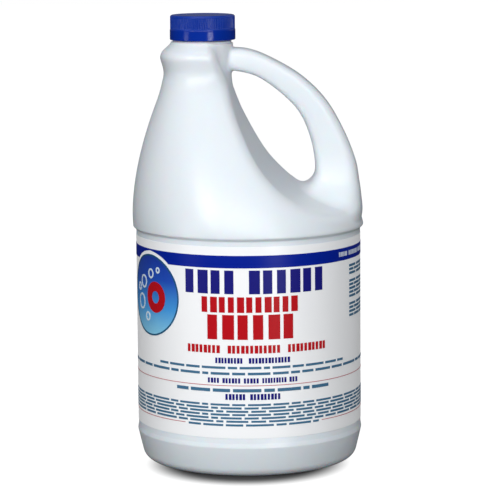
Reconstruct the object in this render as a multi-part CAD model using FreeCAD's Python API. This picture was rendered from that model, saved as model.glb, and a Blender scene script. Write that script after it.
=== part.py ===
"""One-gallon bleach bottle: blown jug with a hollow handle, screw cap, liner and wrap label.

Millimetres. The body axis is x = 0, y = 0, the handle is towards +X, the front is -Y, up is +Z.
"""
import FreeCAD, Part
import math
import os

V = FreeCAD.Vector
UP = V(0, 0, 1)

# Body sizes
body_radius = 78.5          # shoulder, the widest round
panel_depth = 2.15          # label panel, how far it lies in from the shoulder
foot_bumper_depth = 1.6     # round below the label, likewise
wall = 0.9                  # blown wall
foot_lean = 13.0            # degrees, how the side leans in from the lower bumper to the foot
foot_corner = 8.0           # radius between foot and side
foot_ring_width = 4.5       # flat ring that stands on the floor
push_up = 9.0               # height of the hollow under the base
foot_bumper_top = 21.0      # where the lower bumper ends
panel_bottom = 23.0         # label panel, lower end
panel_to_shoulder = 2.9     # height from the panel's upper end to the shoulder
panel_step = 2.0            # height of the slope from the panel out to the shoulder
shoulder_z = 161.5          # where the shoulder begins

# Shoulder and collar sizes, about the neck axis
neck_offset = 29.8          # neck axis lies this far to -X
waist_z = 259.0
waist_radius = 26.0
collar_z = 275.6            # widest round of the collar
collar_radius = 29.5
collar_edge = 4.0           # rounding above the widest round
collar_top_z = 284.6
collar_top_radius = 21.5
shoulder_power = 1.5        # how the shoulder's radius falls away with height
lean_power = 1.2            # how the shoulder leans to the neck with height
shoulder_rounds = 12        # sections that the shoulder is lofted through

# Finger recess sizes
recess_draft = 8.9          # degrees, slope of the recess wall away from the parting plane
recess_reach = 90.0         # how far each recess is cut from the parting plane
recess_line = [             # its edge at the parting plane, as places on the shoulder
    (0.095, 1.000), (0.123, 0.914), (0.174, 0.794), (0.249, 0.627), (0.377, 0.426),
    (0.488, 0.311), (0.589, 0.238), (0.700, 0.184), (0.848, 0.139), (1.051, 0.118)]
recess_over = 30.0          # the cut runs this far past the widest round
core_radius = 20.6          # round that carries the neck between the recesses
core_waist_radius = 19.0
core_foot_radius = 15.0
core_foot_z = 243.0

# Handle sections: outer and inner place on the shoulder, half width, squareness (2 is an ellipse)
handle_sections = [
    ((0.137, 0.975), (0.054, 0.857), 9.0, 3.0),
    ((0.275, 0.968), (0.220, 0.843), 11.0, 3.6),
    ((0.418, 0.921), (0.354, 0.807), 12.2, 4.0),
    ((0.612, 0.820), (0.506, 0.708), 12.8, 4.0),
    ((0.767, 0.686), (0.608, 0.605), 13.4, 4.0),
    ((0.877, 0.521), (0.670, 0.471), 14.2, 4.0),
    ((0.951, 0.358), (0.698, 0.337), 15.4, 4.0),
    ((0.975, 0.244), (0.690, 0.228), 18.0, 3.8),
    ((0.988, 0.158), (0.660, 0.145), 24.0, 3.2),
    ((0.995, 0.073), (0.640, 0.070), 33.0, 2.6),
    ((0.977, -0.012), (0.620, -0.012), 40.0, 2.2)]
handle_section_points = 16

# Neck finish, a 38 mm screw finish
neck_bore = 15.6            # radius of the mouth
neck_radius = 17.45         # thread root
neck_ring_radius = 19.4     # bead below the thread
neck_ring_height = 1.6
neck_rim_z = 300.9
thread_depth = 1.3
thread_pitch = 25.4 / 6.0
thread_turns = 1.5
thread_root_width = 2.5
thread_tip_width = 1.1
thread_below_rim = 2.4      # rim to the middle of the first turn

# Cap
cap_radius = 22.2
cap_bottom_z = 286.8
cap_plate = 1.6             # thickness of the top plate
cap_edge = 1.4              # rounding of the top edge
cap_clearance = 0.4         # radial, cap bore to thread tip
cap_thread_gap = 0.45       # along the axis, between the flanks of both threads
cap_tip_clearance = 0.35    # radial, cap thread tip to neck
cap_ribs = 96
cap_rib_depth = 0.55
cap_band_height = 7.1       # smooth lower band of the skirt
cap_step = 0.25             # the smooth band stands proud by this
cap_lead = 1.2              # cone at the mouth of the cap

# Liner
liner_thickness = 0.9
liner_radius = 18.5
liner_gap = 0.1             # liner to rim and liner to cap plate

# Label and its inks
label_thickness = 0.15
label_bottom = 27.4
label_top = 155.4
label_overlap = 8.0         # glued lap at the back
ink = 0.15                  # drawn thickness of an ink field, so that it shows

panel_top = shoulder_z - panel_to_shoulder
panel_radius = body_radius - panel_depth
foot_bumper_radius = body_radius - foot_bumper_depth
cap_top_z = neck_rim_z + 2 * liner_gap + liner_thickness + cap_plate

parts_dir = "parts"
os.makedirs(parts_dir, exist_ok=True)

neck_axis = V(-neck_offset, 0, 0)
mirror_plane = (V(0, 0, 0), V(0, 1, 0))


def edge_wire(points):
    """Closed wire of straight edges through points."""
    return Part.makePolygon(points + [points[0]])


def spline(points, closed=False):
    """Smooth edge through points."""
    curve = Part.BSplineCurve()
    curve.interpolate(Points=points, PeriodicFlag=closed)
    return curve.toShape()


def arc(first, middle, last):
    """Circular edge through three points."""
    return Part.Arc(first, middle, last).toShape()


def line(first, last):
    """Straight edge between two points."""
    return Part.makeLine(first, last)


def turned(edges, centre, angle=360.0):
    """Solid of revolution of a closed profile about the vertical through centre."""
    face = Part.Face(Part.Wire(Part.__sortEdges__(edges)))
    return face.revolve(centre, UP, angle)


def turned_points(points, centre):
    """Solid of revolution of a straight-sided profile given as (radius, z)."""
    corners = [V(centre.x + radius, 0, z) for radius, z in points]
    return Part.Face(edge_wire(corners)).revolve(centre, UP, 360)


def tube(radius, z0, z1, centre=V(0, 0, 0)):
    """Upright cylinder between two heights."""
    return Part.makeCylinder(radius, z1 - z0, V(centre.x, centre.y, z0), UP)


def lower_body(skin):
    """Foot, bumpers and label panel, taken in by skin all round."""
    lean = math.radians(foot_lean)
    foot_height = foot_bumper_top - foot_corner
    foot_radius = foot_bumper_radius - (foot_corner + foot_height * math.sin(lean)) / math.cos(lean)
    ring_inner = foot_radius - foot_ring_width
    corner = foot_corner - skin
    side = foot_bumper_radius - skin
    heel = V(foot_radius + corner * math.cos(lean), 0, foot_corner - corner * math.sin(lean))
    slant = corner * math.cos(math.pi / 4)
    dome_rise = push_up * 0.8
    dome_z = push_up + skin
    panel = panel_radius - skin
    top = body_radius - skin
    edges = [
        arc(V(0, 0, dome_z), V(ring_inner * 0.5, 0, dome_z - dome_rise * 0.27),
            V(ring_inner - 3.0, 0, skin + push_up - dome_rise)),
        line(V(ring_inner - 3.0, 0, skin + push_up - dome_rise), V(ring_inner, 0, skin)),
        line(V(ring_inner, 0, skin), V(foot_radius, 0, skin)),
        arc(V(foot_radius, 0, skin), V(foot_radius + slant, 0, foot_corner - slant), heel),
        line(heel, V(side, 0, foot_bumper_top)),
        line(V(side, 0, foot_bumper_top), V(panel, 0, panel_bottom)),
        line(V(panel, 0, panel_bottom), V(panel, 0, panel_top)),
        line(V(panel, 0, panel_top), V(top, 0, panel_top + panel_step)),
        line(V(top, 0, panel_top + panel_step), V(top, 0, shoulder_z)),
        line(V(top, 0, shoulder_z), V(0, 0, shoulder_z)),
        line(V(0, 0, shoulder_z), V(0, 0, dome_z))]
    return turned(edges, V(0, 0, 0))


def shoulder(skin):
    """Leaning shoulder lofted through rounds from the body to the waist of the neck."""
    rounds = []
    for index in range(shoulder_rounds + 1):
        share = index / shoulder_rounds
        radius = body_radius - (body_radius - waist_radius) * share ** shoulder_power
        lean = -neck_offset * share ** lean_power
        height = shoulder_z + (waist_z - shoulder_z) * share
        circle = Part.makeCircle(radius - skin, V(lean, 0, height), UP)
        rounds.append(Part.Wire([circle]))
    return Part.makeLoft(rounds, True, False)


def collar(skin):
    """Round collar that flares above the waist and closes to the neck."""
    centre = neck_axis
    waist = waist_radius - skin
    widest = collar_radius - skin
    top = collar_top_radius - skin
    top_z = collar_top_z - skin
    corner_z = collar_z + collar_edge - skin
    x = centre.x
    edges = [
        line(V(x, 0, waist_z), V(x + waist, 0, waist_z)),
        arc(V(x + waist, 0, waist_z), V(x + (waist + widest) / 2 - 0.7, 0, (waist_z + collar_z) / 2),
            V(x + widest, 0, collar_z)),
        arc(V(x + widest, 0, collar_z), V(x + widest - 0.5, 0, collar_z + 2.2),
            V(x + widest - 2.6, 0, corner_z)),
        line(V(x + widest - 2.6, 0, corner_z), V(x + top, 0, top_z)),
        line(V(x + top, 0, top_z), V(x, 0, top_z)),
        line(V(x, 0, top_z), V(x, 0, waist_z))]
    return turned(edges, centre)


def neck_core(skin):
    """Round column that carries the neck between the two finger recesses."""
    return turned_points([(0, core_foot_z), (core_foot_radius - skin, core_foot_z),
                          (core_waist_radius - skin, waist_z), (core_radius - skin, collar_top_z - skin),
                          (0, collar_top_z - skin)], neck_axis)


def on_shoulder(place):
    """Point for a place on the shoulder.

    x runs from 0 at the neck axis to 1 at the widest round, z from 0 at the shoulder's foot
    to 1 at the top of the collar.
    """
    x, z = place
    return V(-neck_offset + x * (neck_offset + body_radius), 0,
             shoulder_z + z * (collar_top_z - shoulder_z))


def recess_wire(skin, depth):
    """Outline of one finger recess at a depth from the parting plane."""
    shift = skin + depth * math.tan(math.radians(recess_draft))
    edge = [on_shoulder(place) for place in recess_line]
    points = []
    for index, point in enumerate(edge):
        before = edge[max(index - 1, 0)]
        after = edge[min(index + 1, len(edge) - 1)]
        along = after - before
        along.normalize()
        outward = V(along.z, 0, -along.x)
        moved = point + outward * shift
        points.append(V(moved.x, -depth, moved.z))
    first, last = points[0], points[-1]
    far_x = body_radius + recess_over
    far_low = V(far_x, -depth, last.z)
    far_high = V(far_x, -depth, first.z)
    return Part.Wire([spline(points), line(last, far_low), line(far_low, far_high), line(far_high, first)])


def recess(skin):
    """Cutting body of both finger recesses, front and back."""
    front = Part.makeLoft([recess_wire(skin, 0.0), recess_wire(skin, recess_reach)], True, True)
    return front.fuse(front.mirror(*mirror_plane))


def handle(skin):
    """Hollow or full handle lofted through rounded sections from the collar to the shoulder."""
    wires = []
    for outer_place, inner_place, half_width, squareness in handle_sections:
        outer = on_shoulder(outer_place)
        inner = on_shoulder(inner_place)
        centre = (outer + inner) * 0.5
        across = outer - inner
        half_depth = across.Length / 2 - skin
        across.normalize()
        points = []
        for step in range(handle_section_points):
            turn = 2 * math.pi * step / handle_section_points
            cosine, sine = math.cos(turn), math.sin(turn)
            power = 2 / squareness
            u = math.copysign(abs(cosine) ** power, cosine) * half_depth
            v = math.copysign(abs(sine) ** power, sine) * (half_width - skin)
            points.append(centre + across * u + V(0, v, 0))
        wires.append(Part.Wire([spline(points, True)]))
    return Part.makeLoft(wires, True, False)


def jug(skin):
    """Whole blown form without the neck finish, taken in by skin."""
    body = lower_body(skin).fuse([shoulder(skin), collar(skin)])
    body = body.cut(recess(skin))
    return body.fuse([neck_core(skin), handle(skin)]).removeSplitter()


def thread(root_radius, depth, root_width, tip_width, start_z, turns, inward=False):
    """Helical thread of trapezoid section about the neck axis, on a root radius."""
    sink = 0.3
    sign = -1.0 if inward else 1.0
    base = root_radius - sign * sink
    tip = root_radius + sign * depth
    helix = Part.makeHelix(thread_pitch, thread_pitch * turns, root_radius)
    grow = sink * (root_width - tip_width) / depth
    section = edge_wire([V(base, 0, -(root_width + grow) / 2), V(tip, 0, -tip_width / 2),
                         V(tip, 0, tip_width / 2), V(base, 0, (root_width + grow) / 2)])
    ridge = Part.Wire(helix).makePipeShell([section], True, True)
    ridge.translate(V(-neck_offset, 0, start_z))
    return ridge


thread_start_z = neck_rim_z - thread_below_rim - thread_pitch * thread_turns


def make_bottle():
    """Blown bottle with its neck finish, hollow all through."""
    outside = jug(0.0)
    ring_z = collar_top_z + neck_ring_height
    finish = tube(neck_radius, collar_top_z - 6.0, neck_rim_z, neck_axis)
    finish = finish.fuse(tube(neck_ring_radius, collar_top_z - 1.0, ring_z, neck_axis))
    screw = thread(neck_radius, thread_depth, thread_root_width, thread_tip_width,
                   thread_start_z, thread_turns)
    outside = outside.fuse([finish, screw])
    inside = jug(wall).fuse(tube(neck_bore, core_foot_z, neck_rim_z + 1.0, neck_axis))
    return outside.cut(inside)


def make_cap():
    """Screw cap: ribbed skirt over a smooth band, top plate and internal thread."""
    bore = neck_radius + thread_depth + cap_clearance
    plate_z = cap_top_z - cap_plate
    band_z = cap_bottom_z + cap_band_height
    ribbed = tube(cap_radius - cap_step, band_z - 0.5, cap_top_z, neck_axis)
    rim = [edge for edge in ribbed.Edges
           if abs(edge.BoundBox.ZMin - cap_top_z) < 0.01 and abs(edge.BoundBox.ZMax - cap_top_z) < 0.01]
    ribbed = ribbed.makeFillet(cap_edge, rim)
    groove = Part.makeBox(cap_rib_depth * 2, cap_rib_depth, cap_top_z - cap_edge - band_z - 0.4,
                          V(-cap_rib_depth, -cap_rib_depth / 2, 0))
    grooves = []
    for index in range(cap_ribs):
        cut = groove.copy()
        cut.translate(V(cap_radius - cap_step, 0, band_z + 0.4))
        cut.rotate(V(0, 0, 0), UP, 360.0 * index / cap_ribs)
        cut.translate(neck_axis)
        grooves.append(cut)
    ribbed = ribbed.cut(Part.makeCompound(grooves))
    band = tube(cap_radius, cap_bottom_z, band_z, neck_axis)
    skirt = ribbed.fuse(band)
    skirt = skirt.cut(tube(bore, cap_bottom_z - 1.0, plate_z, neck_axis))
    lead = Part.makeCone(bore + cap_lead, bore, cap_lead, V(-neck_offset, 0, cap_bottom_z), UP)
    skirt = skirt.cut(lead)
    depth = bore - neck_radius - cap_tip_clearance
    slope = (thread_root_width - thread_tip_width) / thread_depth
    space = thread_pitch - 2 * cap_thread_gap
    tip_width = space - (thread_root_width - slope * cap_tip_clearance)
    root_width = tip_width + slope * depth
    start_z = thread_start_z + thread_pitch / 2
    screw = thread(bore, depth, root_width, tip_width, start_z - thread_pitch, thread_turns, True)
    screw = screw.common(tube(bore + 1.0, cap_bottom_z + cap_lead, plate_z, neck_axis))
    return skirt.fuse(screw)


def make_liner():
    """Foam disc between the rim and the plate of the cap."""
    z0 = neck_rim_z + liner_gap
    return tube(liner_radius, z0, z0 + liner_thickness, neck_axis)


label_radius = panel_radius + label_thickness


def ring_patch(radius, depth, z0, z1, angle0, angle1):
    """Curved sheet on the label; angles are from the front, positive towards the handle."""
    face = Part.Face(edge_wire([V(radius, 0, z0), V(radius + depth, 0, z0),
                                V(radius + depth, 0, z1), V(radius, 0, z1)]))
    face.rotate(V(0, 0, 0), UP, angle0 - 90.0)
    return face.revolve(V(0, 0, 0), UP, angle1 - angle0)


def make_label():
    """Wrap-round film in the panel with a glued lap at the back."""
    film = tube(label_radius, label_bottom, label_top).cut(
        tube(panel_radius, label_bottom - 1.0, label_top + 1.0))
    half_lap = math.degrees(label_overlap / label_radius) / 2
    lap = ring_patch(label_radius - 0.02, label_thickness + 0.02, label_bottom, label_top,
                     180.0 - half_lap, 180.0 + half_lap)
    return film.fuse(lap).removeSplitter()


def word_row(z0, z1, angle0, angle1, words):
    """A row of bars that stands for a printed line: bar lengths vary by a fixed rhythm."""
    lengths = [word_rhythm[index % len(word_rhythm)] for index in range(words)]
    gap = word_gap * (angle1 - angle0) / words
    unit = (angle1 - angle0 - gap * (words - 1)) / sum(lengths)
    bars = []
    angle = angle0
    for length in lengths:
        bars.append(ring_patch(label_radius, ink, z0, z1, angle, angle + unit * length))
        angle += unit * length + gap
    return bars


def badge_disc(radius, depth, angle, height, half_width, half_height):
    """Oval sheet on the label, centred at an angle and height."""
    oval = Part.Ellipse(V(0, 0, 0), half_width, half_height)
    wire = Part.Wire([oval.toShape()])
    block = Part.Face(wire).extrude(V(0, 0, 2 * radius))
    block.rotate(V(0, 0, 0), V(1, 0, 0), 90)
    block.translate(V(0, 0, height))
    block.rotate(V(0, 0, 0), UP, angle)
    shell = ring_patch(radius, depth, height - half_height - 1, height + half_height + 1,
                       angle - 50, angle + 50)
    return shell.common(block)


# Bars that stand for printed words: lengths in turn, and the gap as a share of a word
word_rhythm = [4, 6, 5, 8, 3, 7, 2, 6, 4, 7, 5, 3]
word_gap = 0.14

# Blue band, its heights and the white words left open in it
band_z = (141.4, 149.7)
band_words = (144.2, 147.2, 52.0, 84.0, 3)

# Rows of words: heights, angles from the front, number of words
title = (124.2, 139.9, -33.0, 42.0, 2)
red_rows = [(111.8, 122.2, -24.0, 26.0, 1), (93.8, 110.3, -21.0, 25.0, 1), (84.6, 89.9, -32.0, 42.0, 3)]
navy_rows = [(77.9, 81.6, -17.0, 21.0, 2), (64.6, 68.0, -21.0, 25.0, 5), (53.4, 57.4, -12.0, 16.0, 2)]
fine_rows = [(74.1, 75.7, -51.0, 55.0, 12), (70.1, 71.8, -85.0, 87.0, 18), (58.6, 60.8, -39.0, 43.5, 8),
             (35.6, 37.0, -32.0, 37.0, 7)]

# Block of fine rows across the front
block_low = 38.1
block_pitch = 2.25
block_rows = 6
block_bar = 1.35            # height of its bars
block_angles = (-86.0, 88.0)
block_words = 16            # in its first row

# Block of short rows beside the title, with blank rows between its three parts
side_high = 136.0
side_pitch = 2.6
side_rows = 14
side_blanks = (3, 9)
side_bar = 1.6
side_angles = (62.0, 84.0)
side_words = 2

# Thin red lines: height, angles
red_lines = [(62.7, -88.0, 92.0), (36.2, -88.0, -34.0), (36.2, 39.0, 92.0)]
red_line_height = 0.5

# Oval badge: angle and height of its middle, half width, half height
badge = (-59.0, 118.6, 29.0, 27.5)
badge_rim = 2.2             # white rim that parts it from the band
badge_edge = 1.1            # width of the dark line round it
badge_mark = (6.0, -1.0, 10.5, 4.2)
badge_rings = [             # open rings in it: across and up from its middle, radius
    (-14.0, -6.0, 5.5), (-10.0, 8.0, 4.6), (-18.5, 3.5, 3.0), (0.5, 14.5, 3.4), (-4.0, -15.0, 3.2),
    (9.0, 17.5, 2.2)]
badge_ring_width = 1.2


def badge_ring(radius, depth, across, up, size, hole):
    """Round ring placed from the badge's middle."""
    angle = badge[0] + math.degrees(across / label_radius)
    height = badge[1] + up
    disc = badge_disc(radius, depth, angle, height, size, size)
    return disc.cut(badge_disc(radius - 0.5, depth + 1, angle, height, hole, hole))


def make_blue_ink():
    """Blue band round the label and the oval badge field."""
    angle, height, half_width, half_height = badge
    oval = badge_disc(label_radius, ink, angle, height, half_width, half_height)
    for across, up, size in badge_rings:
        oval = oval.cut(badge_ring(label_radius - 1, ink + 2, across, up, size, size - badge_ring_width))
    room = badge_disc(label_radius - 1, ink + 2, angle, height, half_width + badge_rim,
                      half_height + badge_rim)
    band = tube(label_radius + ink, *band_z).cut(tube(label_radius, band_z[0] - 1, band_z[1] + 1))
    half_lap = math.degrees(label_overlap / label_radius) / 2 + 0.2
    lap_room = ring_patch(label_radius - 1, 3.0, band_z[0] - 1, band_z[1] + 1,
                          180.0 - half_lap, 180.0 + half_lap)
    band = band.cut(room.fuse(lap_room)).cut(Part.makeCompound(word_row(*band_words)))
    return Part.makeCompound([band, oval])


def make_red_ink():
    """Red bars, the thin red lines and the ring on the badge."""
    fields = []
    for row in red_rows:
        fields += word_row(*row)
    for height, angle0, angle1 in red_lines:
        fields.append(ring_patch(label_radius, ink, height, height + red_line_height, angle0, angle1))
    fields.append(badge_ring(label_radius + ink, ink, *badge_mark))
    return Part.makeCompound(fields)


def make_navy_ink():
    """Navy bars: the title and the lesser rows."""
    fields = word_row(*title)
    for row in navy_rows:
        fields += word_row(*row)
    return Part.makeCompound(fields)


def make_teal_ink():
    """Fine teal rows, each a row of short bars, and the line round the badge."""
    fields = []
    for row in fine_rows:
        fields += word_row(*row)
    for row in range(block_rows):
        z0 = block_low + block_pitch * row
        fields += word_row(z0, z0 + block_bar, *block_angles, block_words + row % 3)
    for row in range(side_rows):
        if row not in side_blanks:
            z0 = side_high - side_pitch * row
            fields += word_row(z0, z0 + side_bar, *side_angles, side_words + row % 2)
    angle, height, half_width, half_height = badge
    outline = badge_disc(label_radius + ink, ink, angle, height, half_width, half_height)
    inner = badge_disc(label_radius, 3 * ink, angle, height, half_width - badge_edge,
                       half_height - badge_edge)
    fields.append(outline.cut(inner))
    return Part.makeCompound(fields)


makers = {
    "bottle": make_bottle,
    "cap": make_cap,
    "cap_liner": make_liner,
    "label": make_label,
    "ink_blue": make_blue_ink,
    "ink_red": make_red_ink,
    "ink_navy": make_navy_ink,
    "ink_teal": make_teal_ink,
}

for name, make in makers.items():
    shape = make()
    print(name, shape.ShapeType, "solids", len(shape.Solids), "valid", shape.isValid(),
          "volume", round(shape.Volume, 1))
    shape.exportStep(os.path.join(parts_dir, name + ".step"))
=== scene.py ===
"""Looks of the one-gallon bleach bottle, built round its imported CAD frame.

Lengths inside the builders are millimetres, as in the part's source, and become metres when a mesh
is made. Angles about the body are measured from the front (-Y), positive towards the handle (+X).
"""
import logging
import math
from dataclasses import dataclass, field
from enum import Enum
from typing import Callable, Sequence

import bpy
import numpy as np
from mathutils import Matrix, Vector


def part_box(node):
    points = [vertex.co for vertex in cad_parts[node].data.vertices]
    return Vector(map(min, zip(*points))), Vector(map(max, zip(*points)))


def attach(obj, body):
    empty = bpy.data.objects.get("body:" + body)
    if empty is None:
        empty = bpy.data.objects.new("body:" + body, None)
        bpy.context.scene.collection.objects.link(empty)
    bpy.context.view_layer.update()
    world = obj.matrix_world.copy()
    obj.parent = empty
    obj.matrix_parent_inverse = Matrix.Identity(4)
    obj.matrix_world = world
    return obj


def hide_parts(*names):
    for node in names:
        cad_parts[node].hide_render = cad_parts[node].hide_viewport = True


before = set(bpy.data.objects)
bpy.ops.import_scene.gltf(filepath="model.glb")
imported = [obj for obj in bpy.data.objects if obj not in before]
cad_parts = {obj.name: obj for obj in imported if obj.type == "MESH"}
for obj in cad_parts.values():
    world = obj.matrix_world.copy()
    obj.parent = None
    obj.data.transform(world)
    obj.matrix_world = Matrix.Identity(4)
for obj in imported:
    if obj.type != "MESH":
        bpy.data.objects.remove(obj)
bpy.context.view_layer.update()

logging.basicConfig(level=logging.INFO, format="%(message)s")
log = logging.getLogger("bleach_bottle")

MM = 0.001
Array = np.ndarray
Colour = tuple[float, float, float]
Form = Callable[[Array, Array, Array], Array]


def node_box(node: str) -> tuple[Array, Array]:
    """Corners of a CAD node in millimetres.

    Args:
        node: name of the CAD node.
    Returns:
        Lowest and highest corner.
    """
    low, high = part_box(node)
    return np.array(low) / MM, np.array(high) / MM


@dataclass(frozen=True)
class JugSizes:
    """Sizes of the blown jug in millimetres."""

    body_radius: float = 78.5
    panel_radius: float = 76.35
    foot_radius: float = 76.9
    wall: float = 0.9
    foot_lean: float = 13.0
    foot_corner: float = 8.0
    ring_width: float = 4.5
    push_up: float = 9.0
    bumper_top: float = 21.0
    panel_bottom: float = 23.0
    panel_top: float = 158.6
    step_height: float = 2.0
    shoulder_z: float = 161.5
    neck_offset: float = 29.8
    waist_z: float = 259.0
    waist_radius: float = 26.0
    collar_z: float = 275.6
    collar_radius: float = 29.5
    collar_top_z: float = 284.6
    collar_top_radius: float = 21.5
    shoulder_power: float = 1.5
    lean_power: float = 1.2
    recess_draft: float = 8.9
    core_radius: float = 20.6
    core_waist_radius: float = 19.0
    core_foot_radius: float = 15.0
    core_foot_z: float = 243.0
    bore: float = 15.6
    neck_radius: float = 17.45
    ring_radius: float = 19.4
    ring_top: float = 286.2
    rim_z: float = 300.9
    rim_edge: float = 0.5
    thread_depth: float = 1.3
    thread_pitch: float = 25.4 / 6.0
    thread_turns: float = 1.5
    thread_root: float = 2.5
    thread_tip: float = 1.1
    thread_below_rim: float = 2.4
    recess_line: tuple = ((0.095, 1.000), (0.123, 0.914), (0.174, 0.794), (0.249, 0.627),
                          (0.377, 0.426), (0.488, 0.311), (0.589, 0.238), (0.700, 0.184),
                          (0.848, 0.139), (1.051, 0.118))
    handle: tuple = (((0.137, 0.975), (0.054, 0.857), 9.0, 3.0),
                     ((0.275, 0.968), (0.220, 0.843), 11.0, 3.6),
                     ((0.418, 0.921), (0.354, 0.807), 12.2, 4.0),
                     ((0.612, 0.820), (0.506, 0.708), 12.8, 4.0),
                     ((0.767, 0.686), (0.608, 0.605), 13.4, 4.0),
                     ((0.877, 0.521), (0.670, 0.471), 14.2, 4.0),
                     ((0.951, 0.358), (0.698, 0.337), 15.4, 4.0),
                     ((0.975, 0.244), (0.690, 0.228), 18.0, 3.8),
                     ((0.988, 0.158), (0.660, 0.145), 24.0, 3.2),
                     ((0.995, 0.073), (0.640, 0.070), 33.0, 2.6),
                     ((0.977, -0.012), (0.620, -0.012), 40.0, 2.2))

    @property
    def thread_start(self) -> float:
        """Height of the middle of the thread where it begins."""
        return self.rim_z - self.thread_below_rim - self.thread_pitch * self.thread_turns


@dataclass(frozen=True)
class JugBlends:
    """How softly the forms of the blown jug run into each other, in millimetres."""

    collar: float = 6.0
    collar_edge: float = 4.5
    collar_bow: float = 0.7
    collar_overlap: float = 8.0
    collar_slope: tuple[float, float] = (0.66, 0.751)
    recess: float = 5.0
    recess_fold: float = 4.0
    core: float = 3.0
    neck_ring: float = 0.8
    neck_overlap: float = 5.0
    bore: float = 1.0
    handle: float = 9.0
    handle_least: float = 1.5
    handle_widest_z: float = 203.0
    handle_fall: float = 0.10
    hole_bottom: tuple[float, float] = (44.0, 190.0)
    hole_reach: float = 8.0
    hole_spread: float = 130.0


def soft_min(a: Array, b: Array, reach: Array | float) -> Array:
    """Smooth union of two distance fields.

    Args:
        a: first field.
        b: second field.
        reach: distance over which the two blend.
    Returns:
        The blended field.
    """
    share = np.clip(0.5 + 0.5 * (b - a) / reach, 0.0, 1.0)
    return b + (a - b) * share - reach * share * (1.0 - share)


def soft_max(a: Array, b: Array, reach: Array | float) -> Array:
    """Smooth intersection of two distance fields.

    Args:
        a: first field.
        b: second field.
        reach: distance over which the two blend.
    Returns:
        The blended field.
    """
    return -soft_min(-a, -b, reach)


def smooth_curve(points: Array, steps: int) -> Array:
    """Catmull-Rom curve through rows of values.

    Args:
        points: one row per station.
        steps: samples between two stations.
    Returns:
        The sampled rows.
    """
    padded = np.vstack([2 * points[0] - points[1], points, 2 * points[-1] - points[-2]])
    rows = []
    for index in range(1, len(padded) - 2):
        before, start, end, after = padded[index - 1:index + 3]
        for step in range(steps):
            t = step / steps
            rows.append(0.5 * (2 * start + (end - before) * t
                               + (2 * before - 5 * start + 4 * end - after) * t ** 2
                               + (3 * start - before - 3 * end + after) * t ** 3))
    rows.append(points[-1])
    return np.array(rows)


class PlaneMap:
    """Values kept on a grid in the parting plane and read between its points."""

    def __init__(self, low: tuple[float, float], high: tuple[float, float], step: float) -> None:
        """Lay out the grid.

        Args:
            low: lowest x and z.
            high: highest x and z.
            step: grid step.
        """
        self.low = low
        self.step = step
        self.xs = np.arange(low[0], high[0] + step, step)
        self.zs = np.arange(low[1], high[1] + step, step)
        self.x, self.z = np.meshgrid(self.xs, self.zs, indexing="ij")
        self.layers: dict[str, Array] = {}

    def read(self, name: str, x: Array, z: Array) -> Array:
        """Value of a layer at points, by bilinear interpolation.

        Args:
            name: layer name.
            x: x of the points.
            z: z of the points.
        Returns:
            The values.
        """
        layer = self.layers[name]
        u = np.clip((x - self.low[0]) / self.step, 0, len(self.xs) - 1.001)
        v = np.clip((z - self.low[1]) / self.step, 0, len(self.zs) - 1.001)
        i, j = u.astype(int), v.astype(int)
        u, v = u - i, v - j
        return ((layer[i, j] * (1 - u) + layer[i + 1, j] * u) * (1 - v)
                + (layer[i, j + 1] * (1 - u) + layer[i + 1, j + 1] * u) * v)


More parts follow.
